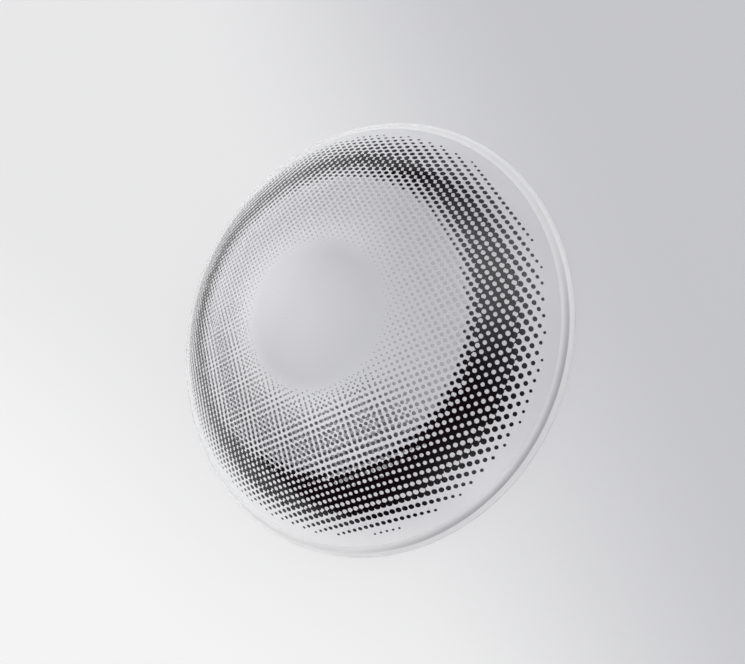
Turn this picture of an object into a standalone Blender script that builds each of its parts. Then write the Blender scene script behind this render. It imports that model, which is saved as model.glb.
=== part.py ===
"""A coloured soft contact lens, lying as it rests: rim down, with its domed front up.

The lens is one cast shell of clear hydrogel. Its tint is a film of ink, set flush into a shallow
recess of the front surface: a dark limbal ring, and a paler iris ring inside it. Both are
halftones, so they are pierced by round gaps and fade out through notched edges.
Metres, +Z up along the optical axis, with the origin at the centre of the rim's resting plane.
"""

import math

import bmesh
import bpy
from mathutils import Matrix

MM = 0.001

# The shell
RIM_RADIUS = 7.10 * MM
BASE_CURVE = 8.60 * MM
WALL = 0.12 * MM

# The edge: widths are measured inwards from the rim, and slopes down from the horizontal
BEVEL_WIDTH = 0.32 * MM
LIP_WIDTH = 0.14 * MM
BACK_BEVEL_WIDTH = 0.50 * MM
BEVEL_SLOPE = math.radians(46)
LIP_SLOPE = math.radians(52)
EDGE_RADIUS = 0.045 * MM
LAND_ANGLE = math.radians(50)

# The print. The wall is a tenth of a millimetre, so the film's clearances are hundredths.
CLEAR_MARGIN = 0.68 * MM
LIMBAL_WIDTH = 1.82 * MM
PUPIL_RADIUS = 2.28 * MM
FILM = 0.020 * MM
FLOOR_CLEARANCE = 0.008 * MM
SIDE_CLEARANCE = 0.020 * MM

# The halftone's radii, row by row outwards
DOTS_AROUND = 32
IRIS_NOTCH = 0.13 * MM
IRIS_GAPS = (0.26 * MM,)
LIMBAL_GAPS = (0.18 * MM, 0.24 * MM)
LIMBAL_NOTCH = 0.36 * MM
GAP_SIDES = 8

# The facets
AROUND = 64
PUPIL_STEPS = 3
IRIS_STEPS = 4
LIMBAL_STEPS = 4
EDGE_STEPS = 3
BACK_STEPS = 10

# The Screw modifier joins points this near its axis, in metres
AXIS_MERGE = 1e-7

# What follows from the sizes
FRONT_RADIUS = BASE_CURVE + WALL
FLOOR_RADIUS = FRONT_RADIUS - FILM - FLOOR_CLEARANCE
PRINT_OUTER = RIM_RADIUS - CLEAR_MARGIN
PRINT_JOINT = PRINT_OUTER - LIMBAL_WIDTH
NOSE_X = RIM_RADIUS - EDGE_RADIUS
NOSE_Z = EDGE_RADIUS * math.sin(LAND_ANGLE)


def down_slope(start_x, end_x, end_z, slope):
    """The height at start_x of a straight slope that runs down and out to (end_x, end_z)."""
    return end_z + (end_x - start_x) * math.tan(slope)


def bevel_points():
    """The front's edge, from the end of the sphere down to the lip's foot on the round nose."""
    foot_x = NOSE_X + EDGE_RADIUS * math.sin(LIP_SLOPE)
    foot_z = NOSE_Z + EDGE_RADIUS * math.cos(LIP_SLOPE)
    lip_x = RIM_RADIUS - LIP_WIDTH
    lip_z = down_slope(lip_x, foot_x, foot_z, LIP_SLOPE)
    bevel_x = RIM_RADIUS - BEVEL_WIDTH
    bevel_z = down_slope(bevel_x, lip_x, lip_z, BEVEL_SLOPE)
    return [(bevel_x, bevel_z), (lip_x, lip_z)]


# The front and the back share one centre, below the resting plane
CENTRE_Z = bevel_points()[0][1] - math.sqrt(FRONT_RADIUS**2 - bevel_points()[0][0] ** 2)


def polar(distance, radius=FRONT_RADIUS):
    """The angle from the axis at which a sphere of this radius is this far from the axis."""
    return math.asin(distance / radius)


def dome_arc(radius, start, end, steps):
    """Points on the sphere of this radius, at even angles from start to end."""
    angles = [start + (end - start) * i / steps for i in range(steps + 1)]
    return [(radius * math.sin(a), CENTRE_Z + radius * math.cos(a)) for a in angles]


def nose_arc(start, end, steps):
    """Points on the rim's round nose, at even angles from the horizontal."""
    angles = [start + (end - start) * i / steps for i in range(steps + 1)]
    return [
        (NOSE_X + EDGE_RADIUS * math.cos(a), NOSE_Z + EDGE_RADIUS * math.sin(a))
        for a in angles
    ]


def nose_profile(back_x, back_z):
    """Round the nose, across the flat land that the lens rests on, and up to the back bevel."""
    away = math.atan2(back_z - NOSE_Z, back_x - NOSE_X)
    reach = math.hypot(back_x - NOSE_X, back_z - NOSE_Z)
    back_tangent = away + math.acos(EDGE_RADIUS / reach)
    outer = nose_arc(math.pi / 2 - LIP_SLOPE, -LAND_ANGLE, EDGE_STEPS)
    inner = nose_arc(math.pi + LAND_ANGLE, back_tangent, 1)
    return outer + inner


def lens_profile():
    """The section of the shell, from the front's apex round the rim to the back's apex."""
    inner, joint, outer = polar(PUPIL_RADIUS), polar(PRINT_JOINT), polar(PRINT_OUTER)
    back_x = RIM_RADIUS - BACK_BEVEL_WIDTH
    back = dome_arc(BASE_CURVE, polar(back_x, BASE_CURVE), 0, BACK_STEPS)
    recess = dome_arc(FLOOR_RADIUS, inner, joint, IRIS_STEPS)
    recess += dome_arc(FLOOR_RADIUS, joint, outer, LIMBAL_STEPS)[1:]
    return (
        dome_arc(FRONT_RADIUS, 0, inner, PUPIL_STEPS)
        + recess
        + dome_arc(FRONT_RADIUS, outer, outer, 1)[:1]
        + bevel_points()
        + nose_profile(*back[0])
        + back
    )


def film_profile(inner, outer, steps):
    """The section of a ring of ink, flush with the front and clear of the recess's floor."""
    top = dome_arc(FRONT_RADIUS, polar(inner), polar(outer), steps)
    underside = dome_arc(FRONT_RADIUS - FILM, polar(outer), polar(inner), steps)
    return top + underside


def clear_scene():
    for obj in list(bpy.data.objects):
        bpy.data.objects.remove(obj, do_unlink=True)


def new_collection(name):
    collection = bpy.data.collections.new(name)
    bpy.context.scene.collection.children.link(collection)
    return collection


def new_object(name, mesh, collection):
    obj = bpy.data.objects.new(name, mesh)
    collection.objects.link(obj)
    return obj


def turned(name, profile, is_ring, collection):
    """A shape turned about Z from points (x, z) that run down its outer side."""
    mesh = bpy.data.meshes.new(name)
    edges = [(i, i + 1) for i in range(len(profile) - 1)]
    if is_ring:
        edges.append((len(profile) - 1, 0))
    mesh.from_pydata([(x, 0, z) for x, z in profile], edges, [])
    obj = new_object(name, mesh, collection)
    screw = obj.modifiers.new("turn", "SCREW")
    screw.steps = AROUND
    screw.render_steps = AROUND
    screw.use_merge_vertices = True
    screw.merge_threshold = AXIS_MERGE
    screw.use_smooth_shade = True
    return obj


def add_row(pins, distance, radius, is_staggered):
    """Pins square to the dome, evenly round the axis at this distance from it."""
    for i in range(DOTS_AROUND):
        azimuth = 2 * math.pi * (i + 0.5 * is_staggered) / DOTS_AROUND
        placed = (
            Matrix.Translation((0, 0, CENTRE_Z))
            @ Matrix.Rotation(azimuth, 4, "Z")
            @ Matrix.Rotation(polar(distance), 4, "Y")
            @ Matrix.Translation((0, 0, FRONT_RADIUS))
        )
        bmesh.ops.create_cone(
            pins,
            cap_ends=True,
            segments=GAP_SIDES,
            radius1=radius,
            radius2=radius,
            depth=4 * WALL,
            matrix=placed,
        )


def pierce(film, pins, cutters):
    """Cuts the pins out of a ring of ink."""
    mesh = bpy.data.meshes.new(film.name + "_pins")
    pins.to_mesh(mesh)
    pins.free()
    cutter = new_object(mesh.name, mesh, cutters)
    cutter.hide_render = True
    cutter.display_type = "WIRE"
    cut = film.modifiers.new("halftone", "BOOLEAN")
    cut.operation = "DIFFERENCE"
    cut.solver = "EXACT"
    cut.object = cutter


def halftone_pins(inner, outer, radii):
    """Rows of pins from the ring's inner edge to its outer one, each staggered with the last."""
    pins = bmesh.new()
    pitch = (outer - inner) / (len(radii) - 1)
    for row, radius in enumerate(radii):
        if radius > 0:
            add_row(pins, inner + row * pitch, radius, row % 2 == 1)
    return pins


def make_lens(parts):
    lens = turned("lens", lens_profile(), False, parts)
    finish(lens, (0.86, 0.89, 0.91), roughness=0.05, clearness=0.9)


def make_limbal_ring(parts, cutters):
    inner = PRINT_JOINT + SIDE_CLEARANCE / 2
    outer = PRINT_OUTER - SIDE_CLEARANCE
    film = turned("limbal_ring_print", film_profile(inner, outer, LIMBAL_STEPS), True, parts)
    pierce(film, halftone_pins(inner, outer, (0, *LIMBAL_GAPS, LIMBAL_NOTCH)), cutters)
    finish(film, (0.010, 0.004, 0.007), roughness=0.4, clearness=0)


def make_iris_ring(parts, cutters):
    inner = PUPIL_RADIUS + SIDE_CLEARANCE
    outer = PRINT_JOINT - SIDE_CLEARANCE / 2
    film = turned("iris_print", film_profile(inner, outer, IRIS_STEPS), True, parts)
    pierce(film, halftone_pins(inner, outer, (IRIS_NOTCH, *IRIS_GAPS, 0)), cutters)
    finish(film, (0.30, 0.29, 0.33), roughness=0.4, clearness=0)


def finish(obj, colour, roughness, clearness):
    """Gives the object a material of its own."""
    material = bpy.data.materials.new(obj.name)
    material.use_nodes = True
    shader = material.node_tree.nodes["Principled BSDF"]
    shader.inputs["Base Color"].default_value = (*colour, 1)
    shader.inputs["Roughness"].default_value = roughness
    shader.inputs["Metallic"].default_value = 0
    shader.inputs["Transmission Weight"].default_value = clearness
    shader.inputs["IOR"].default_value = 1.42
    obj.data.materials.append(material)


def main():
    clear_scene()
    parts = new_collection("contact_lens")
    cutters = new_collection("cutters")
    make_lens(parts)
    make_limbal_ring(parts, cutters)
    make_iris_ring(parts, cutters)


main()
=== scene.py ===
# %% [markdown]
# # A tinted contact lens
#
# A soft tinted lens is one thin, clear shell of hydrogel. Its colour is a print: a dark
# limbal ring and a paler iris ring, both made of dots so fine that the eye blends them.
# The lens lies on its rim here, with the domed front up.
#
# The imported model comes first. It is a fixed frame in metres, with +Z up along the optical
# axis, and every piece below takes its place from it.

# %% Load the frame
import math

import bpy
from mathutils import Matrix, Vector


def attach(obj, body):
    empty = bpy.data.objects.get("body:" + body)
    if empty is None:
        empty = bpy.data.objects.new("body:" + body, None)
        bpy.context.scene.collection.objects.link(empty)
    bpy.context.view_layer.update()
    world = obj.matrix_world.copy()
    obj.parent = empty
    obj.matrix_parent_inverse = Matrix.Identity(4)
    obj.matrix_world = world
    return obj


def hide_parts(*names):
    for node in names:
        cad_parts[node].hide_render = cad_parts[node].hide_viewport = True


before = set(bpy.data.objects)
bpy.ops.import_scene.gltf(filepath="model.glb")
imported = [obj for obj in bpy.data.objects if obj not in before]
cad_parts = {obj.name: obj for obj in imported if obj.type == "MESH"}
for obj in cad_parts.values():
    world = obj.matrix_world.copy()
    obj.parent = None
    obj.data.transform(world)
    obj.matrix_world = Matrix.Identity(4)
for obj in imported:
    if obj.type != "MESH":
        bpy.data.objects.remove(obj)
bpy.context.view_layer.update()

MM = 0.001

# %% [markdown]
# ## The section of the shell
#
# A lens maker draws a lens as half of its section, and turns it about the axis. The front
# and the back are spheres with one centre, so the wall is even. Near the rim the front
# breaks into a bevel and then a lip, and the edge is rounded so that it doesn't rub.
# The same is done here: a list of points (distance from the axis, height), turned.

# %% Sizes of the shell
RIM_RADIUS = 7.10 * MM
FRONT_RADIUS = 8.72 * MM
BACK_RADIUS = 8.60 * MM
BEVEL_FROM = 6.78 * MM
LIP_FROM = 6.96 * MM
BACK_BEVEL_FROM = 6.60 * MM
BEVEL_SLOPE = math.radians(46)
LIP_SLOPE = math.radians(52)
EDGE_RADIUS = 0.045 * MM
LAND_ANGLE = math.radians(50)
BREAK = 0.012 * MM
GROOVE_WIDTH = 0.040 * MM
GROOVE_DEPTH = 0.014 * MM

nose = Vector((RIM_RADIUS - EDGE_RADIUS, EDGE_RADIUS * math.sin(LAND_ANGLE)))
foot = nose + EDGE_RADIUS * Vector((math.sin(LIP_SLOPE), math.cos(LIP_SLOPE)))
lip_height = foot.y + (foot.x - LIP_FROM) * math.tan(LIP_SLOPE)
bevel_height = lip_height + (LIP_FROM - BEVEL_FROM) * math.tan(BEVEL_SLOPE)
centre_height = bevel_height - math.sqrt(FRONT_RADIUS**2 - BEVEL_FROM**2)
print("apex", round((centre_height + FRONT_RADIUS) / MM, 3), "mm above the rim's plane")


# %% [markdown]
# Smooth shading blends the light over every edge, so a crisp line needs help. A bevel's
# break gets two points a hundredth of a millimetre apart, which keeps it a fine line that
# still catches the light, as a moulded edge does. Where the bevel meets the lip, the two
# halves of the mould leave a groove a hundredth of a millimetre deep.

# %% Points of the section
def on_sphere(radius, distance):
    """The point of the section on one of the two spheres, at a distance from the axis."""
    return Vector((distance, centre_height + math.sqrt(radius**2 - distance**2)))


def arc(radius, start, end, steps):
    """Points on a sphere of the section, at even angles between two distances."""
    a, b = math.asin(start / radius), math.asin(end / radius)
    angles = [a + (b - a) * i / steps for i in range(steps + 1)]
    return [on_sphere(radius, radius * math.sin(angle)) for angle in angles]


def rounded_nose(start, end, steps):
    """Points round the edge, at even angles from the horizontal."""
    angles = [start + (end - start) * i / steps for i in range(steps + 1)]
    return [nose + EDGE_RADIUS * Vector((math.cos(a), math.sin(a))) for a in angles]


def break_line(before, corner, after):
    """Two points in place of a corner, each a little way along one of its sides."""
    return [
        corner + (before - corner).normalized() * BREAK,
        corner + (after - corner).normalized() * BREAK,
    ]


def groove(before, corner, after):
    """Three points in place of a corner, the middle one sunk below it."""
    sides = [(end - corner).normalized() * GROOVE_WIDTH / 2 for end in (before, after)]
    return [corner + sides[0], corner - Vector((0, GROOVE_DEPTH)), corner + sides[1]]


# %% [markdown]
# The points run from the front's pole to the rim, round the edge, across the flat land
# that the lens rests on, and back up the inside. The inside leaves the round edge along a
# tangent, so there is no kink.

# %% Join the points into one section
FRONT_STEPS = 30
BACK_STEPS = 28
NOSE_STEPS = 7
HEEL_STEPS = 3

bevel_top = Vector((BEVEL_FROM, bevel_height))
lip_top = Vector((LIP_FROM, lip_height))
back_end = on_sphere(BACK_RADIUS, BACK_BEVEL_FROM)
to_nose = nose - back_end
tangent = math.atan2(-to_nose.y, -to_nose.x) + math.acos(EDGE_RADIUS / to_nose.length)
nose_top = rounded_nose(math.pi / 2 - LIP_SLOPE, -LAND_ANGLE, NOSE_STEPS)
nose_heel = rounded_nose(math.pi + LAND_ANGLE, tangent, HEEL_STEPS)
front = arc(FRONT_RADIUS, 0, BEVEL_FROM - BREAK, FRONT_STEPS)
back = arc(BACK_RADIUS, BACK_BEVEL_FROM - BREAK, 0, BACK_STEPS)
section = (
    front[:-1]
    + break_line(front[-2], bevel_top, lip_top)
    + groove(bevel_top, lip_top, foot)
    + nose_top
    + nose_heel
    + break_line(nose_heel[-1], back_end, back[1])
    + back[1:]
)
print(len(section), "points in the section")

# %% [markdown]
# ## Turning the shell
#
# Both ends of the section lie on the axis. Each becomes one vertex, a pole, and every
# other point becomes a ring. The faces are wound so that they all point outwards, which
# clear material needs: the light bends by which side of a face it comes from.

# %% Turn the section about the axis
AROUND = 256


def turned_mesh(name, points, around):
    """A closed mesh turned about Z from points that run from the top pole to the bottom."""
    rings = points[1:-1]
    top, bottom = 0, 1 + len(rings) * around
    vertices = [(0, 0, points[0].y)]
    for point in rings:
        for i in range(around):
            angle = math.tau * i / around
            place = (point.x * math.cos(angle), point.x * math.sin(angle), point.y)
            vertices.append(place)
    vertices.append((0, 0, points[-1].y))
    faces = []
    for i in range(around):
        j = (i + 1) % around
        faces.append((top, 1 + i, 1 + j))
        for row in range(len(rings) - 1):
            upper, lower = 1 + row * around, 1 + (row + 1) * around
            faces.append((upper + i, lower + i, lower + j, upper + j))
        last = 1 + (len(rings) - 1) * around
        faces.append((last + i, bottom, last + j))
    mesh = bpy.data.meshes.new(name)
    mesh.from_pydata(vertices, [], faces)
    mesh.shade_smooth()
    return mesh


def new_object(name, data):
    """An object of the scene, with a mesh or a camera in it."""
    made = bpy.data.objects.new(name, data)
    bpy.context.scene.collection.objects.link(made)
    return made


shell = new_object("hydrogel_shell", turned_mesh("hydrogel_shell", section, AROUND))
print("shell:", len(shell.data.polygons), "faces")

# %% [markdown]
# The rim's front is left as it comes from the mould, and the rest is polished. Those faces
# get the second material slot, so that they can have a finish of their own.

# %% Mark the faces of the rim
rim_faces = 0
for face in shell.data.polygons:
    distance = face.center.to_2d().length
    if distance > BEVEL_FROM and face.normal.dot((face.center.x, face.center.y, 0)) > 0:
        face.material_index = 1
        rim_faces += 1
print("rim:", rim_faces, "faces")


# %% [markdown]
# ## Two helpers for node trees
#
# Materials and Geometry Nodes are both trees of nodes. One helper adds a node and plugs
# its inputs in, each with a plain value or with the output of an earlier node. The other
# is short for a Math node, so that a formula reads almost as it does on paper.

# %% Helpers for node trees
def add(tree, kind, sockets=None, **settings):
    """Adds a node. sockets gives its inputs, by name or place: a value or an output."""
    made = tree.nodes.new(kind)
    for name, value in settings.items():
        setattr(made, name, value)
    for key, value in (sockets or {}).items():
        if isinstance(value, bpy.types.NodeSocket):
            tree.links.new(value, made.inputs[key])
        else:
            made.inputs[key].default_value = value
    return made


def result(tree, operation, *values, **settings):
    """The result of a Math node: its operation on one to three values."""
    sockets = dict(enumerate(values))
    made = add(tree, "ShaderNodeMath", sockets, operation=operation, **settings)
    return made.outputs[0]


# %% [markdown]
# ## The screen of the print
#
# A halftone is a square grid of dots, whose size carries the tone. Lenses are printed with
# a soft pad, which lifts the ink off a flat plate and presses it onto the dome. The plate's
# grid is even. On the lens the cells spread towards the rim, and the pad has pulled them
# round towards one side, where they lie closer together.
#
# So the print is made here as it is in the works: flat and even first, then pressed on.
# In polar terms the press is two short formulas. A point at distance p and angle a goes to
# distance r = p (1 + spread p²), and to angle a - pull r sin(a - side). How much a cell
# grows follows from the slopes of both.

# %% Values of the press
PITCH = 0.148 * MM
COARSE_PITCH = 1.175 * PITCH
TURN = math.radians(-42.7)
SPREAD = 0.006 / MM**2
PULL = 0.048 / MM
PULL_TOWARDS = math.radians(92)
REACH = 38

print("plate of", 2 * REACH, "cells each way,", round(2 * REACH * PITCH / MM, 1), "mm wide")

# %% [markdown]
# The tone follows the distance from the axis. It rises steeply from the inner edge to a
# peak, and falls slowly towards the outer edge, as the limbal ring of an eye does. Some of
# the print is fuller on one side than on the other, so a second factor follows the angle
# round the axis.
#
# All of this is a tree for Geometry Nodes, with a named input for each size. The press
# moves the cells, but wet ink draws itself up round, so dots and gaps stay round on the
# dome however their cells lean. Their size comes from the area of the pressed cell, which
# is larger on the slope of the dome than it is seen from above. The level is the share of
# a length down that slope that is seen from above: one at the top, less towards the rim.

# %% A tree with the inputs of a screen
SCREEN_INPUTS = {
    "Geometry": "NodeSocketGeometry",
    "Pitch": "NodeSocketFloat",
    "Turn": "NodeSocketFloat",
    "Spread": "NodeSocketFloat",
    "Pull": "NodeSocketFloat",
    "Pull towards": "NodeSocketFloat",
    "Peak at": "NodeSocketFloat",
    "Inner width": "NodeSocketFloat",
    "Outer width": "NodeSocketFloat",
    "Inner power": "NodeSocketFloat",
    "Outer power": "NodeSocketFloat",
    "Most cover": "NodeSocketFloat",
    "Full side": "NodeSocketFloat",
    "Side from": "NodeSocketFloat",
    "Side to": "NodeSocketFloat",
    "Least share": "NodeSocketFloat",
    "Least cover": "NodeSocketFloat",
    "Depth": "NodeSocketFloat",
    "Thickness": "NodeSocketFloat",
    "Front radius": "NodeSocketFloat",
    "Centre height": "NodeSocketFloat",
    "Ink": "NodeSocketMaterial",
}


def new_tree(name):
    """An empty Geometry Nodes tree with the screen's named inputs."""
    tree = bpy.data.node_groups.new(name, "GeometryNodeTree")
    for socket, kind in SCREEN_INPUTS.items():
        tree.interface.new_socket(socket, in_out="INPUT", socket_type=kind)
    tree.interface.new_socket("Geometry", in_out="OUTPUT", socket_type="NodeSocketGeometry")
    return tree, add(tree, "NodeGroupInput").outputs


print("a screen has", len(SCREEN_INPUTS), "inputs")


# %% [markdown]
# The plate is a plain grid of points. The press is a function that adds the two formulas
# to a tree. It takes any place on the plate, so it serves for the dots, for the corners of
# the mesh and for the middles of its gaps.

# %% The plate and the press
def plate(tree, given, vertices):
    """The even, flat grid of points on the printing plate."""
    width = result(tree, "MULTIPLY", given["Pitch"], vertices - 1)
    grid = add(tree, "GeometryNodeMeshGrid", {
        "Size X": width, "Size Y": width, "Vertices X": vertices, "Vertices Y": vertices,
    })
    return grid.outputs["Mesh"]


def pressed(tree, given, place=None):
    """Where the press puts a place on the plate, and how large its cell is there."""
    place = place or add(tree, "GeometryNodeInputPosition").outputs[0]
    at = add(tree, "ShaderNodeSeparateXYZ", {0: place}).outputs
    squares = result(tree, "MULTIPLY_ADD", at["X"], at["X"],
                     result(tree, "MULTIPLY", at["Y"], at["Y"]))
    growth = result(tree, "MULTIPLY_ADD", squares, given["Spread"], 1.0)
    distance = result(tree, "MULTIPLY", result(tree, "SQRT", squares), growth)
    start = result(tree, "ADD", result(tree, "ARCTAN2", at["Y"], at["X"]), given["Turn"])
    from_side = result(tree, "SUBTRACT", start, given["Pull towards"])
    reach = result(tree, "MULTIPLY", given["Pull"], distance)
    pull = result(tree, "MULTIPLY", reach, result(tree, "SINE", from_side))
    angle = result(tree, "SUBTRACT", start, pull)

    # The slope of p (1 + spread p²) is 1 + 3 spread p², which is 3 growth - 2, and the
    # slope of a - pull r sin(a - side) is 1 - pull r cos(a - side)
    outward = result(tree, "MULTIPLY_ADD", growth, 3.0, -2.0)
    lean = result(tree, "MULTIPLY", reach, result(tree, "COSINE", from_side))
    around = result(tree, "MULTIPLY", growth, result(tree, "SUBTRACT", 1.0, lean))
    slope = result(tree, "ARCSINE", result(tree, "DIVIDE", distance, given["Front radius"]))
    level = result(tree, "COSINE", slope)
    area = result(tree, "DIVIDE", result(tree, "MULTIPLY", outward, around), level)
    return {
        "distance": distance,
        "angle": angle,
        "x": result(tree, "MULTIPLY", distance, result(tree, "COSINE", angle)),
        "y": result(tree, "MULTIPLY", distance, result(tree, "SINE", angle)),
        "level": level,
        "cell": result(tree, "MULTIPLY", result(tree, "SQRT", area), given["Pitch"]),
        "breadth": result(tree, "MULTIPLY", around, given["Pitch"]),
    }


# %% [markdown]
# The size of a dot is worked out while its point is on the plate, and it is used when the
# point has moved. So it is stored on the point under a name, and read back later.

# %% Sizes, and values kept under a name
def radius_of(tree, share, cell):
    """The radius of a round dot or gap that takes this share of a cell."""
    in_cells = result(tree, "SQRT", result(tree, "DIVIDE", share, math.pi))
    return result(tree, "MULTIPLY", in_cells, cell)


def store(tree, geometry, name, value, kind="FLOAT"):
    """Keeps a value on every point under a name, for when the points have moved."""
    return add(tree, "GeometryNodeStoreNamedAttribute", {
        "Geometry": geometry, "Name": name, "Value": value,
    }, data_type=kind, domain="POINT").outputs[0]


def stored(tree, name, kind="FLOAT"):
    """A value that an earlier node kept under this name."""
    node = add(tree, "GeometryNodeInputNamedAttribute", {"Name": name}, data_type=kind)
    return node.outputs["Attribute"]


# %% [markdown]
# The cover of a cell is the share of it that the ink takes. Away from the peak it falls
# as one less a power of the distance: a low power gives a pointed peak, a high one a
# flat top with steep sides.

# %% The cover of a cell
def cover_of_cell(tree, given):
    """How much of the cell round this point the ink covers."""
    lands = pressed(tree, given)
    beyond = result(tree, "SUBTRACT", lands["distance"], given["Peak at"])
    is_outer = result(tree, "GREATER_THAN", beyond, 0.0)

    def by_side(inner, outer):
        """One value within the peak, another beyond it."""
        return add(tree, "ShaderNodeMix", {0: is_outer, 2: inner, 3: outer}).outputs[0]

    width = by_side(given["Inner width"], given["Outer width"])
    power = by_side(given["Inner power"], given["Outer power"])
    share = result(tree, "DIVIDE", result(tree, "ABSOLUTE", beyond), width)
    fall = result(tree, "POWER", share, power)
    fall = result(tree, "SUBTRACT", 1.0, fall, use_clamp=True)
    from_side = result(tree, "SUBTRACT", lands["angle"], given["Full side"])
    facing = result(tree, "COSINE", from_side)
    side = add(tree, "ShaderNodeMapRange", {
        "Value": facing, "From Min": given["Side from"], "From Max": given["Side to"],
        "To Min": given["Least share"], "To Max": 1.0,
    }, interpolation_type="SMOOTHSTEP").outputs[0]
    cover = result(tree, "MULTIPLY", fall, given["Most cover"])
    return result(tree, "MULTIPLY", cover, side)


# %% [markdown]
# Up to half cover, the ink is round dots that don't touch. Past half, they have run
# together, and what is left is round clear gaps in a mesh of ink. Both lie on a sphere a
# little smaller than the dome's front, so that the clear gel covers them.

# %% Lift flat ink onto the dome
def on_dome(tree, given, geometry, x, y):
    """Moves every point to x and y, and up to its height under the front surface."""
    radius = result(tree, "SUBTRACT", given["Front radius"], given["Depth"])
    rise = result(tree, "MULTIPLY", radius, radius)
    for side in (x, y):
        rise = result(tree, "SUBTRACT", rise, result(tree, "MULTIPLY", side, side))
    height = result(tree, "ADD", result(tree, "SQRT", rise), given["Centre height"])
    place = add(tree, "GeometryNodeInputPosition").outputs[0]
    above = add(tree, "ShaderNodeSeparateXYZ", {0: place}).outputs["Z"]
    spot = add(tree, "ShaderNodeCombineXYZ", {
        "X": x, "Y": y, "Z": result(tree, "ADD", height, above),
    }).outputs[0]
    return add(tree, "GeometryNodeSetPosition", {
        "Geometry": geometry, "Position": spot,
    }).outputs[0]


def square_to_dome(tree, given):
    """The rotation that lays a flat dot on the dome, with its axis away from the centre."""
    centre = add(tree, "ShaderNodeCombineXYZ", {"Z": given["Centre height"]}).outputs[0]
    place = add(tree, "GeometryNodeInputPosition").outputs[0]
    away = add(tree, "ShaderNodeVectorMath", {0: place, 1: centre}, operation="SUBTRACT")
    return add(tree, "FunctionNodeAlignRotationToVector", {
        "Vector": away.outputs[0],
    }, axis="Z").outputs[0]


# %% [markdown]
# A tree ends in the same way for dots and for mesh. Its ink is joined to whatever an
# earlier tree on the same object has made, so that one tree can follow another, and all
# of it gets the ink's material.

# %% Select, join and finish
def between(tree, value, low, high):
    """A selection: true where the value lies between two others."""
    above = result(tree, "GREATER_THAN", value, low)
    return result(tree, "MULTIPLY", above, result(tree, "LESS_THAN", value, high))


def joined(tree, *parts):
    """Several geometries as one."""
    whole = add(tree, "GeometryNodeJoinGeometry")
    for part in parts:
        tree.links.new(part, whole.inputs[0])
    return whole.outputs[0]


def finish_tree(tree, given, ink):
    """Ends a tree: joins the ink to what came in, sets its material and puts it out."""
    inked = add(tree, "GeometryNodeSetMaterial", {
        "Geometry": joined(tree, given["Geometry"], ink), "Material": given["Ink"],
    })
    tree.links.new(inked.outputs[0], add(tree, "NodeGroupOutput").inputs[0])


# %% [markdown]
# A dot is a short cylinder with twelve sides, made once at unit size. A copy of it stands
# on every point where the cover asks for a dot. The points are on the dome by then, and
# each copy is turned square to the dome and scaled to the radius that its point has stored.

# %% The tree for dots
MOST_DOT = 0.62
DOT_SIDES = 12

dots_tree, given = new_tree("halftone_dots")
lands = pressed(dots_tree, given)
cover = cover_of_cell(dots_tree, given)
radius = radius_of(dots_tree, cover, lands["cell"])
cells = store(dots_tree, plate(dots_tree, given, 2 * REACH + 1), "cover", cover)
cells = store(dots_tree, cells, "radius", radius)
radius = stored(dots_tree, "radius")
dot = add(dots_tree, "GeometryNodeMeshCylinder", {
    "Vertices": DOT_SIDES, "Radius": 1.0, "Depth": 1.0,
}, fill_type="NGON").outputs["Mesh"]
is_dot = between(dots_tree, stored(dots_tree, "cover"), given["Least cover"], MOST_DOT)
dots = add(dots_tree, "GeometryNodeInstanceOnPoints", {
    "Points": on_dome(dots_tree, given, cells, lands["x"], lands["y"]),
    "Selection": is_dot,
    "Instance": dot,
    "Rotation": square_to_dome(dots_tree, given),
    "Scale": add(dots_tree, "ShaderNodeCombineXYZ", {
        "X": radius, "Y": radius, "Z": given["Thickness"],
    }).outputs[0],
}).outputs[0]
dots = add(dots_tree, "GeometryNodeRealizeInstances", {"Geometry": dots}).outputs[0]
finish_tree(dots_tree, given, dots)
print("dots tree:", len(dots_tree.nodes), "nodes")

# %% [markdown]
# A gap sits in the middle of four dots, so this grid is half a cell off the other: it has
# an even number of points each way. On the slope of the dome a round gap is an oval seen
# from above, short towards the rim. Where the pull has made the cells too narrow for a
# circle, the gap is drawn out towards the rim. So two values are stored for each gap: half
# its breadth, and its length towards the rim as a share of its breadth. Where the cover is
# a little over half there are both dots and mesh, so that one takes over without a step.

# %% The tree for a mesh of ink with gaps
LEAST_MESH = 0.53
COVER_OF_LARGEST_GAP = 0.60
WIDEST_GAP = 0.49

mesh_tree, given = new_tree("halftone_mesh")
cover = cover_of_cell(mesh_tree, given)
open_share = result(mesh_tree, "SUBTRACT", 1.0,
                    result(mesh_tree, "MAXIMUM", cover, COVER_OF_LARGEST_GAP))
lands = pressed(mesh_tree, given)
round_gap = radius_of(mesh_tree, open_share, lands["cell"])
gap = result(mesh_tree, "MINIMUM", round_gap,
             result(mesh_tree, "MULTIPLY", lands["breadth"], WIDEST_GAP))
drawn_out = result(mesh_tree, "POWER", result(mesh_tree, "DIVIDE", round_gap, gap), 2.0)
oval = result(mesh_tree, "MULTIPLY", lands["level"], drawn_out)
oval = result(mesh_tree, "MINIMUM", oval, 1.0)
middle = add(mesh_tree, "GeometryNodeInputPosition").outputs[0]
cells = store(mesh_tree, plate(mesh_tree, given, 2 * REACH), "gap", gap)
cells = store(mesh_tree, cells, "oval", oval)
cells = store(mesh_tree, cells, "middle", middle, "FLOAT_VECTOR")
print("a plate of", 2 * REACH, "by", 2 * REACH, "tiles")

# %% [markdown]
# The tile is a square with a round hole. It starts as two curves, which are filled, raised
# and closed underneath. The vertices of the hole are marked, to be told from the corners.

# %% The tile
UNIT_GAP = 0.34
HALF_TILE = 0.5
SEAM = 0.001


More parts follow.
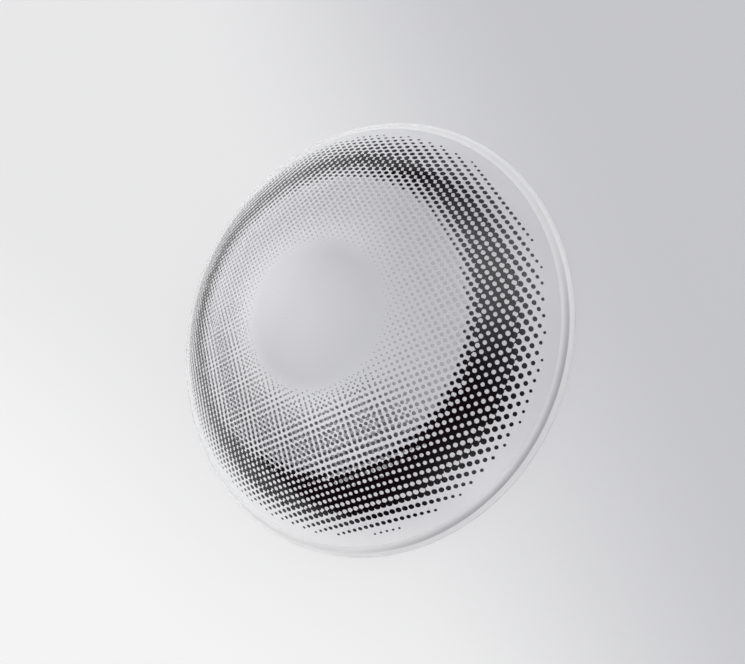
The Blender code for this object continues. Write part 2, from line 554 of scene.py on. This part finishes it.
def off_axis(tree, place):
    """How far a place is from the Z axis."""
    flat = add(tree, "ShaderNodeVectorMath", {0: place, 1: (1, 1, 0)}, operation="MULTIPLY")
    length = add(tree, "ShaderNodeVectorMath", {0: flat.outputs[0]}, operation="LENGTH")
    return length.outputs["Value"]


square = add(mesh_tree, "GeometryNodeCurvePrimitiveQuadrilateral", {
    "Width": 2 * HALF_TILE, "Height": 2 * HALF_TILE,
}).outputs[0]
hole = add(mesh_tree, "GeometryNodeCurvePrimitiveCircle", {
    "Resolution": DOT_SIDES, "Radius": UNIT_GAP,
}).outputs[0]
face = add(mesh_tree, "GeometryNodeFillCurve", {
    "Curve": joined(mesh_tree, square, hole),
}, mode="TRIANGLES").outputs[0]
raised = add(mesh_tree, "GeometryNodeExtrudeMesh", {
    "Mesh": face, "Offset": (0, 0, 1), "Offset Scale": 1.0, "Individual": False,
}, mode="FACES").outputs["Mesh"]
underside = add(mesh_tree, "GeometryNodeFlipFaces", {"Mesh": face}).outputs[0]
tile = add(mesh_tree, "GeometryNodeMergeByDistance", {
    "Geometry": joined(mesh_tree, raised, underside), "Distance": SEAM,
}).outputs[0]
place = add(mesh_tree, "GeometryNodeInputPosition").outputs[0]
is_hole = result(mesh_tree, "LESS_THAN", off_axis(mesh_tree, place), HALF_TILE)
tile = store(mesh_tree, tile, "is hole", is_hole)
print("a tile has a hole with", DOT_SIDES, "sides")

# %% [markdown]
# The tiles are laid on the flat plate first, each a hundredth too large, so that no seam
# shows. Once they are realized they are one mesh, whose vertices can move one by one.

# %% Lay the tiles on the plate
TILE_OVERLAP = 1.01

size = result(mesh_tree, "MULTIPLY", given["Pitch"], TILE_OVERLAP)
tiles = add(mesh_tree, "GeometryNodeInstanceOnPoints", {
    "Points": cells,
    "Selection": result(mesh_tree, "GREATER_THAN", cover, LEAST_MESH),
    "Instance": tile,
    "Scale": add(mesh_tree, "ShaderNodeCombineXYZ", {
        "X": size, "Y": size, "Z": given["Thickness"],
    }).outputs[0],
}).outputs[0]
tiles = add(mesh_tree, "GeometryNodeRealizeInstances", {"Geometry": tiles}).outputs[0]
print("tiles of", round(TILE_OVERLAP * PITCH / MM, 3), "mm")

# %% [markdown]
# The corners of a tile go where the press puts them, so that tiles still meet. The hole's
# vertices go round the pressed middle of their tile instead. Their way from it is
# shortened towards the rim to make the oval, and scaled to the gap's size.

# %% Press the tiles and size their gaps
corner = pressed(mesh_tree, given)
middle = pressed(mesh_tree, given, stored(mesh_tree, "middle", "FLOAT_VECTOR"))
away = {side: result(mesh_tree, "SUBTRACT", corner[side], middle[side]) for side in "xy"}


def product(tree, one, other):
    """The dot product of two places or directions, seen from above."""
    return result(tree, "MULTIPLY_ADD", one["x"], other["x"],
                  result(tree, "MULTIPLY", one["y"], other["y"]))


length = result(mesh_tree, "SQRT", product(mesh_tree, away, away))
grow = result(mesh_tree, "DIVIDE", stored(mesh_tree, "gap"), length)
outward = result(mesh_tree, "DIVIDE", product(mesh_tree, away, middle),
                 product(mesh_tree, middle, middle))
shorten = result(mesh_tree, "SUBTRACT", stored(mesh_tree, "oval"), 1.0)
shorten = result(mesh_tree, "MULTIPLY", outward, shorten)
spot = {}
for side in "xy":
    shortened = result(mesh_tree, "MULTIPLY_ADD", middle[side], shorten, away[side])
    on_oval = result(mesh_tree, "MULTIPLY_ADD", shortened, grow, middle[side])
    spot[side] = add(mesh_tree, "ShaderNodeMix", {
        0: stored(mesh_tree, "is hole"), 2: corner[side], 3: on_oval,
    }).outputs[0]
finish_tree(mesh_tree, given, on_dome(mesh_tree, given, tiles, spot["x"], spot["y"]))
print("mesh tree:", len(mesh_tree.nodes), "nodes")

# %% [markdown]
# ## Effects that the materials share
#
# Ink is never laid down evenly, and a soft lens is never perfectly polished. The first
# group gives a mottled value from noise, which mostly keeps between 0.3 and 0.7 and is
# spread from there to the values asked for. It reads Object coordinates, in metres, so the
# scale of the noise is the number of its cells in a metre.

# %% A helper for shader groups, and the mottle
NOISE_LOW = 0.3
NOISE_HIGH = 0.7


def new_group(name, inputs, output):
    """A shader group with number inputs and one number output."""
    group = bpy.data.node_groups.new(name, "ShaderNodeTree")
    for socket, value in inputs.items():
        made = group.interface.new_socket(
            socket, in_out="INPUT", socket_type="NodeSocketFloat"
        )
        made.default_value = value
    group.interface.new_socket(output, in_out="OUTPUT", socket_type="NodeSocketFloat")
    given = add(group, "NodeGroupInput").outputs
    return group, given, add(group, "NodeGroupOutput").inputs


mottle, given, out = new_group("mottle", {
    "Cells": 2000.0, "Low": 0.0, "High": 1.0,
}, "Value")
spot = add(mottle, "ShaderNodeTexCoord").outputs["Object"]
noise = add(mottle, "ShaderNodeTexNoise", {
    "Vector": spot, "Scale": given["Cells"], "Detail": 3.0,
})
spread = add(mottle, "ShaderNodeMapRange", {
    "Value": noise.outputs[0], "From Min": NOISE_LOW, "From Max": NOISE_HIGH,
    "To Min": given["Low"], "To Max": given["High"],
})
mottle.links.new(spread.outputs[0], out["Value"])
print("group", mottle.name, "with", len(mottle.nodes), "nodes")

# %% [markdown]
# The other three groups give masks, from nought to one. One is stronger on one side of the
# lens, by the cosine of the angle from that side. One rises with the distance from the
# axis, and one rises evenly across, from one side to the other.

# %% Masks: side, outwards and across
def risen(tree, value, start, end):
    """A smooth rise from nought to one, as a value goes from start to end."""
    return add(tree, "ShaderNodeMapRange", {
        "Value": value, "From Min": start, "From Max": end,
    }, interpolation_type="SMOOTHSTEP").outputs[0]


side, given, out = new_group("side", {"Towards": 0.0, "From": -1.0, "To": 1.0}, "Mask")
spot = add(side, "ShaderNodeTexCoord").outputs["Object"]
spot = add(side, "ShaderNodeSeparateXYZ", {0: spot}).outputs
angle = result(side, "ARCTAN2", spot["Y"], spot["X"])
facing = result(side, "COSINE", result(side, "SUBTRACT", angle, given["Towards"]))
side.links.new(risen(side, facing, given["From"], given["To"]), out["Mask"])

outwards, given, out = new_group("outwards", {"From": 0.0, "To": 0.007}, "Mask")
spot = add(outwards, "ShaderNodeTexCoord").outputs["Object"]
mask = risen(outwards, off_axis(outwards, spot), given["From"], given["To"])
outwards.links.new(mask, out["Mask"])

across, given, out = new_group("across", {"Towards": 0.0, "From": 0.0, "To": 0.01}, "Mask")
spot = add(across, "ShaderNodeTexCoord").outputs["Object"]
direction = add(across, "ShaderNodeCombineXYZ", {
    "X": result(across, "COSINE", given["Towards"]),
    "Y": result(across, "SINE", given["Towards"]),
}).outputs[0]
along = add(across, "ShaderNodeVectorMath", {
    0: spot, 1: direction,
}, operation="DOT_PRODUCT").outputs["Value"]
across.links.new(risen(across, along, given["From"], given["To"]), out["Mask"])
print("masks:", side.name, outwards.name, across.name)


# %% [markdown]
# A material is a tree as well. It starts with a Principled shader, and a group is placed
# in it with values of its own.

# %% Helpers for materials
def new_material(name):
    """A material with nodes, and its Principled shader."""
    material = bpy.data.materials.new(name)
    material.use_nodes = True
    return material, material.node_tree, material.node_tree.nodes["Principled BSDF"]


def placed(tree, group, **values):
    """The output of a group that is placed in a material with its own values."""
    made = add(tree, "ShaderNodeGroup", node_tree=group)
    for name, value in values.items():
        made.inputs[name].default_value = value
    return made.outputs[0]


# %% [markdown]
# ## Light through the lens
#
# Lamps can't find their way through bent light, so for shadow rays, and for rays that
# matt surfaces scatter, a layer of the lens is a plain clear film. Gel hardly dims it.
# Ink is a glaze: it holds back some light and tints the rest, so the shadow of the print
# is softer than its dots are dark.

# %% A layer that lets lamps through
def let_light_through(tree, shader, tint):
    """Makes a material a clear film of this tint to the lamps."""
    path = add(tree, "ShaderNodeLightPath").outputs
    film = add(tree, "ShaderNodeBsdfTransparent", {"Color": tint})
    is_film = result(tree, "MAXIMUM", path["Is Shadow Ray"], path["Is Diffuse Ray"])
    either = add(tree, "ShaderNodeMixShader", {
        0: is_film, 1: shader.outputs[0], 2: film.outputs[0],
    })
    tree.links.new(either.outputs[0], tree.nodes["Material Output"].inputs["Surface"])


# %% [markdown]
# ## Hydrogel
#
# The shell is a water-filled gel, clear and wet. It is glass to the renderer, with the
# refractive index of a soft lens.

# %% What both gel materials share
GEL_INDEX = 1.40
GEL_FILM = (0.99, 0.99, 0.993, 1)


def new_gel(name, tint, clear):
    """A gel material: its tree and its shader."""
    material, tree, shader = new_material(name)
    shader.inputs["Base Color"].default_value = tint
    shader.inputs["Transmission Weight"].default_value = clear
    shader.inputs["Metallic"].default_value = 0.0
    shader.inputs["IOR"].default_value = GEL_INDEX
    let_light_through(tree, shader, GEL_FILM)
    return material, tree, shader


# %% [markdown]
# The shell has a faint grey tint, deepest in the pupil. Painted shade is laid into it:
# across the pupil the grey darkens from one side to the other, and one side of the iris is
# painted greyer. The margin is free of both. The polish varies a little.

# %% Material of the polished shell
CLEAR = (0.99, 0.99, 0.994, 1)
SHADED_PUPIL_TINT = (0.77, 0.775, 0.79, 1)
LIT_PUPIL_TINT = (0.93, 0.93, 0.937, 1)
SIDE_PAINTED_SHADE = (0.79, 0.79, 0.81, 1)
PUPIL_EDGE = {"From": 1.9 * MM, "To": 2.8 * MM}
CLEAR_MARGIN = {"From": 5.2 * MM, "To": 6.4 * MM}


def mixed(tree, share, first, second):
    """A colour between two others."""
    sockets = {0: share, 6: first, 7: second}
    return add(tree, "ShaderNodeMix", sockets, data_type="RGBA").outputs[2]


clear_gel, tree, shader = new_gel("clear_gel", CLEAR, clear=1.0)
polish = placed(tree, mottle, Cells=400.0, Low=0.01, High=0.03)
tree.links.new(polish, shader.inputs["Roughness"])
# Painted shade: the pupil's grey darkens from one side across to the other.
painted_shade_across = placed(tree, across, Towards=math.radians(75), From=0.3 * MM, To=2.6 * MM)
pupil = mixed(tree, painted_shade_across, SHADED_PUPIL_TINT, LIT_PUPIL_TINT)
# Painted shade: one side of the iris is painted greyer.
painted_shade_side = placed(tree, side, Towards=math.radians(285), From=0.1, To=1.0)
around = mixed(tree, painted_shade_side, CLEAR, SIDE_PAINTED_SHADE)
tint = mixed(tree, placed(tree, outwards, **PUPIL_EDGE), pupil, around)
tint = mixed(tree, placed(tree, outwards, **CLEAR_MARGIN), tint, CLEAR)
tree.links.new(tint, shader.inputs["Base Color"])
shell.data.materials.append(clear_gel)
print(clear_gel.name, "has", len(tree.nodes), "nodes")

# %% [markdown]
# The moulded rim is a little cloudy. It catches light from every side and glows, which is
# what makes the edge of a lens show white. A share of its light is scattered under the
# surface, over about the thickness of the edge. Painted shade greys the bevel towards the
# groove and the groove itself, most of all on the side away from the lamps.

# %% Material of the moulded rim
CLOUDY = (0.98, 0.98, 0.985, 1)
PAINTED_SHADE_GREY = (0.40, 0.39, 0.43, 1)
GLOW_DEPTH = 0.15 * MM
LEAST_PAINTED_SHADE = 0.18
MORE_SHADE_AWAY = 0.60

moulded_rim, tree, shader = new_gel("moulded_rim", CLOUDY, clear=0.45)
shader.inputs["Subsurface Weight"].default_value = 1.0
shader.inputs["Subsurface Radius"].default_value = (1.0, 1.0, 1.0)
shader.inputs["Subsurface Scale"].default_value = GLOW_DEPTH
polish = placed(tree, mottle, Cells=1500.0, Low=0.10, High=0.20)
tree.links.new(polish, shader.inputs["Roughness"])

# Painted shade: grey from the bevel into the groove, stronger on the side away from the
# lamps.
near_groove = placed(tree, outwards, From=BEVEL_FROM + 0.02 * MM, To=LIP_FROM)
past_groove = placed(tree, outwards, From=LIP_FROM + 0.01 * MM, To=LIP_FROM + 0.03 * MM)
painted_shade = result(tree, "MULTIPLY", near_groove, result(tree, "SUBTRACT", 1.0, past_groove))
away = placed(tree, side, Towards=math.radians(258), From=0.5, To=0.95)
shade_by_side = result(tree, "MULTIPLY_ADD", away, MORE_SHADE_AWAY, LEAST_PAINTED_SHADE)
painted_shade = result(tree, "MULTIPLY", painted_shade, shade_by_side)
tone = mixed(tree, painted_shade, CLOUDY, PAINTED_SHADE_GREY)
tree.links.new(tone, shader.inputs["Base Color"])
shell.data.materials.append(moulded_rim)
print(moulded_rim.name, "has", len(tree.nodes), "nodes")

# %% [markdown]
# ## Inks
#
# Inks lie inside the gel, which has nearly their own refractive index, so they have hardly
# any gloss. Their pigment is coarse enough to show as fine specks.

# %% What the inks share
INK_GLOSS = 0.04


def new_ink(name, film):
    """An ink material: its tree and its shader, with what all inks share."""
    material, tree, shader = new_material(name)
    matt = placed(tree, mottle, Cells=4000.0, Low=0.4, High=0.6)
    tree.links.new(matt, shader.inputs["Roughness"])
    shader.inputs["Specular IOR Level"].default_value = INK_GLOSS
    let_light_through(tree, shader, film)
    return material, tree, shader


def speckle(tree, tone, low, high):
    """A tone with fine specks, a tenth of a millimetre apart."""
    specks = placed(tree, mottle, Cells=9000.0, Low=low, High=high)
    specked = add(tree, "ShaderNodeVectorMath", {0: tone, 1: specks}, operation="MULTIPLY")
    return specked.outputs[0]


# %% [markdown]
# The limbal ink is a plum black. On two sides, and in a few patches of a third, a painted
# reflection greys it, as a haze of light on the gel over it.

# %% Material of the limbal ink
PLUM_FILM = (0.78, 0.76, 0.78, 1)
PLUM_BLACK = (0.0038, 0.0003, 0.0018, 1)
PAINTED_REFLECTION_GREY = (0.040, 0.037, 0.046, 1)

plum_black_ink, tree, shader = new_ink("plum_black_ink", PLUM_FILM)
# Painted reflection: the black is greyer on two sides and in patches on a third.
painted_reflection = result(tree, "MAXIMUM",
              placed(tree, side, Towards=math.radians(60), From=0.75, To=1.0),
              placed(tree, side, Towards=math.radians(140), From=0.85, To=1.0))
reflection_patch_side = placed(tree, side, Towards=math.radians(312), From=0.60, To=0.95)
reflection_patches = result(tree, "MAXIMUM", placed(tree, mottle, Cells=420.0, Low=-0.4, High=0.8),
                 placed(tree, outwards, From=5.4 * MM, To=6.2 * MM))
painted_reflection = result(tree, "MULTIPLY_ADD", reflection_patch_side, reflection_patches, painted_reflection, use_clamp=True)
tone = mixed(tree, painted_reflection, PLUM_BLACK, PAINTED_REFLECTION_GREY)
tree.links.new(speckle(tree, tone, low=0.7, high=1.3), shader.inputs["Base Color"])
print(plum_black_ink.name, "has", len(tree.nodes), "nodes")

# %% [markdown]
# The iris inks are glazes: a lavender grey that thickens to charcoal on one side, and one
# of slate for the second screen. Light comes through them, so where the dots of two
# screens cross it is darker. Alpha carries their strength. The first is strongest where it
# is thick, near the limbal ring.

# %% Materials of the iris inks
LAVENDER_FILM = (0.90, 0.895, 0.91, 1)
LAVENDER = (0.24, 0.23, 0.285, 1)
CHARCOAL = (0.040, 0.036, 0.047, 1)
SIDE_STRENGTH = 0.34
RING_STRENGTH = 0.24
SLATE_FILM = (0.94, 0.935, 0.95, 1)
SLATE = (0.075, 0.068, 0.088, 1)

lavender_ink, tree, shader = new_ink("lavender_ink", LAVENDER_FILM)
thick = placed(tree, side, Towards=math.radians(190), From=0.15, To=0.85)
tone = mixed(tree, thick, LAVENDER, CHARCOAL)
tree.links.new(speckle(tree, tone, low=0.85, high=1.15), shader.inputs["Base Color"])
strong = placed(tree, side, Towards=math.radians(135), From=-0.95, To=0.0)
near_ring = placed(tree, outwards, From=2.8 * MM, To=4.5 * MM)
ring_side = result(tree, "MULTIPLY", near_ring, thick)
strength = result(tree, "MULTIPLY_ADD", ring_side, RING_STRENGTH,
                  result(tree, "MULTIPLY", strong, SIDE_STRENGTH))
uneven = placed(tree, mottle, Cells=3000.0, Low=0.10, High=0.19)
tree.links.new(result(tree, "ADD", strength, uneven), shader.inputs["Alpha"])

slate_ink, tree, shader = new_ink("slate_ink", SLATE_FILM)
shader.inputs["Base Color"].default_value = SLATE
uneven = placed(tree, mottle, Cells=3000.0, Low=0.24, High=0.38)
tree.links.new(uneven, shader.inputs["Alpha"])
print("iris inks:", lavender_ink.name, "and", slate_ink.name)

# %% [markdown]
# ## Printing
#
# Each ring of ink is an empty object with the trees as its modifiers. Once they have run,
# their result becomes a plain mesh of its own, and the carrier is removed.


# %% Print a ring
def printed(name, *layers):
    """A plain mesh object from the geometry of one or more trees, each with its values."""
    carrier = new_object(name + "_carrier", bpy.data.meshes.new(name + "_carrier"))
    for tree, values in layers:
        modifier = carrier.modifiers.new(tree.name, "NODES")
        modifier.node_group = tree
        for item in tree.interface.items_tree:
            if item.in_out == "INPUT" and item.name in values:
                modifier[item.identifier] = values[item.name]
    depsgraph = bpy.context.evaluated_depsgraph_get()
    mesh = bpy.data.meshes.new_from_object(carrier.evaluated_get(depsgraph))
    bpy.data.objects.remove(carrier)
    mesh.name = name
    piece = new_object(name, mesh)
    triangles = sum(len(p.vertices) - 2 for p in mesh.polygons)
    print(name, "has", triangles, "triangles")
    return piece


# %% [markdown]
# Every screen goes through the same press and gives a film of the same thickness, so they
# share these values.

# %% Values that all screens share
screen = {
    "Pitch": PITCH,
    "Turn": TURN,
    "Spread": SPREAD,
    "Pull": PULL,
    "Pull towards": PULL_TOWARDS,
    "Thickness": 0.004 * MM,
    "Front radius": FRONT_RADIUS,
    "Centre height": centre_height,
}
print("a film of ink is", round(screen["Thickness"] / MM, 3), "mm thick")

# %% [markdown]
# The limbal ring has its darkest line three quarters of the way out, where up to three
# quarters of the surface is ink. Its outer dots shrink slowly and then stop, because a pad
# can't print the finest ones. The dots lie a hair higher than the mesh, so that no two
# faces of ink share a plane.

# %% The limbal ring
limbal = screen | {
    "Peak at": 5.3 * MM,
    "Inner width": 0.80 * MM,
    "Outer width": 1.25 * MM,
    "Inner power": 2.3,
    "Outer power": 1.55,
    "Most cover": 0.765,
    "Full side": math.radians(240),
    "Side from": -0.2,
    "Side to": 1.0,
    "Least share": 0.735,
    "Least cover": 0.07,
    "Ink": plum_black_ink,
}
limbal_ring = printed(
    "limbal_ring_dots",
    (dots_tree, limbal | {"Depth": 0.016 * MM}),
    (mesh_tree, limbal | {"Depth": 0.020 * MM}),
)

# %% [markdown]
# The iris ring has dots all round, smaller and darker on one side. There a second screen,
# a sixth coarser, lies under the first. Two grids of nearly the same pitch beat against
# each other, and where the clear rows of both meet they show as bright lines: a plaid,
# called moiré.

# %% The iris ring
iris = screen | {
    "Peak at": 4.4 * MM,
    "Inner width": 2.15 * MM,
    "Outer width": 0.75 * MM,
    "Inner power": 2.3,
    "Outer power": 5.0,
    "Least cover": 0.008,
    "Ink": lavender_ink,
}
iris_ring = printed("iris_dots", (dots_tree, iris | {
    "Most cover": 0.385,
    "Full side": math.radians(15),
    "Side from": -0.5,
    "Side to": 0.3,
    "Least share": 0.84,
    "Depth": 0.045 * MM,
}))
iris_coarse = printed("iris_dots_coarse", (dots_tree, iris | {
    "Pitch": COARSE_PITCH,
    "Most cover": 0.33,
    "Full side": math.radians(175),
    "Side from": 0.15,
    "Side to": 0.60,
    "Least share": 0.0,
    "Depth": 0.065 * MM,
    "Ink": slate_ink,
}))

# %% [markdown]
# ## Joining the frame
#
# Each piece rides with the lens, and stands for the plain solid that it replaces, which is
# hidden.

# %% Ride and replace
for piece, slot, node in (
    (shell, "hydrogel", "lens"),
    (limbal_ring, "dark_ink", "limbal_ring_print"),
    (iris_ring, "grey_ink", "iris_print"),
    (iris_coarse, "grey_ink", "iris_print"),
):
    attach(piece, "root")
    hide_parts(node)
print("pieces:", shell.name, limbal_ring.name, iris_ring.name, iris_coarse.name)

# %% [markdown]
# ## Floor
#
# A pale sweep of card, wide enough to reach past the camera's view from any side. Painted
# light and shade run across it, as on card that is lit from one side.

# %% The floor
FLOOR_RADIUS = 0.6
FLOOR_SIDES = 64
FLOOR_GAP = 0.006 * MM

floor = new_object("floor", bpy.data.meshes.new("floor"))
turns = [math.tau * i / FLOOR_SIDES for i in range(FLOOR_SIDES)]
edge = [(FLOOR_RADIUS * math.cos(a), FLOOR_RADIUS * math.sin(a), -FLOOR_GAP) for a in turns]
floor.data.from_pydata(edge, [], [tuple(range(FLOOR_SIDES))])
print("floor:", 2 * FLOOR_RADIUS, "m across")

# %% [markdown]
# Two masks lay painted light and shade on the card. One runs from a painted shade of grey
# to pale right across, and the other, nearer the lens, paints the pale side up to white.

# %% Material of the card
CARD_IN_PAINTED_SHADE = (0.605, 0.607, 0.64, 1)
PALE_CARD = (0.875, 0.876, 0.885, 1)
CARD_IN_PAINTED_LIGHT = (0.99, 0.99, 0.993, 1)

card, tree, shader = new_material("card")
# Painted light and shade: the card's tone runs from grey to white across it.
painted_light_near = placed(tree, across, Towards=math.radians(172), From=2.5 * MM, To=12.5 * MM)
painted_shade_ramp = placed(tree, across, Towards=math.radians(138), From=-10.0 * MM, To=2.4 * MM)
bright = mixed(tree, painted_light_near, PALE_CARD, CARD_IN_PAINTED_LIGHT)
tone = mixed(tree, painted_shade_ramp, CARD_IN_PAINTED_SHADE, bright)
tree.links.new(tone, shader.inputs["Base Color"])
shader.inputs["Roughness"].default_value = 0.7
shader.inputs["Specular IOR Level"].default_value = 0.2
floor.data.materials.append(card)
print(card.name, "has", len(tree.nodes), "nodes")

# %% [markdown]
# ## Light
#
# Big softboxes with feathered edges light a clear object best, because every edge of a
# lamp shows as a hard shape in its gloss. Here the world itself is the softboxes: each is
# a patch of sky round one direction, brightest in its middle.


# %% The softboxes
AMBIENT = 0.03


def softbox(tree, direction, towards, power, strength):
    """How bright a softbox is in a direction: a power of the cosine to its middle."""
    sockets = {0: direction, 1: Vector(towards).normalized()}
    cosine = add(tree, "ShaderNodeVectorMath", sockets, operation="DOT_PRODUCT")
    cosine = cosine.outputs["Value"]
    cosine = result(tree, "MAXIMUM", cosine, 0.0)
    return result(tree, "MULTIPLY", result(tree, "POWER", cosine, power), strength)


world = bpy.data.worlds.new("studio")
bpy.context.scene.world = world
world.use_nodes = True
tree = world.node_tree
sky = tree.nodes["Background"]
direction = add(tree, "ShaderNodeTexCoord").outputs["Generated"]
key = softbox(tree, direction, (0.0, 0.72, 0.70), 8.0, 4.4)
fill = softbox(tree, direction, (0.75, -0.42, 0.50), 9.0, 2.5)
low_fill = softbox(tree, direction, (-0.60, -0.80, 0.06), 16.0, 2.4)
light = result(tree, "ADD", result(tree, "ADD", key, fill), low_fill)
light = result(tree, "ADD", light, AMBIENT)
print("three softboxes and an even light of", AMBIENT)

# %% [markdown]
# Rays from the camera don't see the softboxes but a pale backdrop, and so do rays that
# have come through the gel. Gloss sees the backdrop up to some ten degrees above the
# floor, as if it were a low wall all round, and the softboxes over it. A height in the
# world is the sine of the angle above the horizon.

# %% The backdrop
BACKDROP = (0.84, 0.84, 0.86, 1)
WALL_FULL_TO = 0.08
WALL_ENDS_AT = 0.20

height = add(tree, "ShaderNodeSeparateXYZ", {0: direction}).outputs["Z"]
low = risen(tree, height, WALL_ENDS_AT, WALL_FULL_TO)
path = add(tree, "ShaderNodeLightPath").outputs
straight = result(tree, "MAXIMUM", path["Is Camera Ray"], path["Is Transmission Ray"])
seen = result(tree, "MULTIPLY_ADD", path["Is Glossy Ray"], low, straight, use_clamp=True)
shine = add(tree, "ShaderNodeCombineXYZ", {"X": light, "Y": light, "Z": light}).outputs[0]
tree.links.new(mixed(tree, seen, shine, BACKDROP), sky.inputs["Color"])
print("the world has", len(tree.nodes), "nodes")

# %% [markdown]
# ## Camera
#
# The camera looks down on the dome from well above the horizon, and is rolled so that the
# lens seems to stand on its edge.

# %% The camera
CAMERA_PLACE = Vector((0.15, -23.108, 38.777)) * MM
CAMERA_HEIGHT = math.radians(59.37)
CAMERA_ROLL = math.radians(-68.2)
CAMERA_LENS = 67.65

camera = new_object("camera", bpy.data.cameras.new("camera"))
camera.data.lens = CAMERA_LENS
camera.data.clip_start = 1 * MM
camera.data.clip_end = 2.0
down = Matrix.Rotation(math.pi / 2 - CAMERA_HEIGHT, 4, "X")
roll = Matrix.Rotation(CAMERA_ROLL, 4, "Z")
camera.matrix_world = Matrix.Translation(CAMERA_PLACE) @ down @ roll
bpy.context.scene.camera = camera
bpy.context.scene.view_settings.view_transform = "Standard"
print("camera", round(CAMERA_PLACE.length / MM, 1), "mm from the middle of the rim's plane")

# %% [markdown]
# ## Finish
#
# The finished lens must fill the same box as the model that it stands for. The last line
# updates the view layer and closes the script.

# %% Finish
bpy.context.view_layer.update()
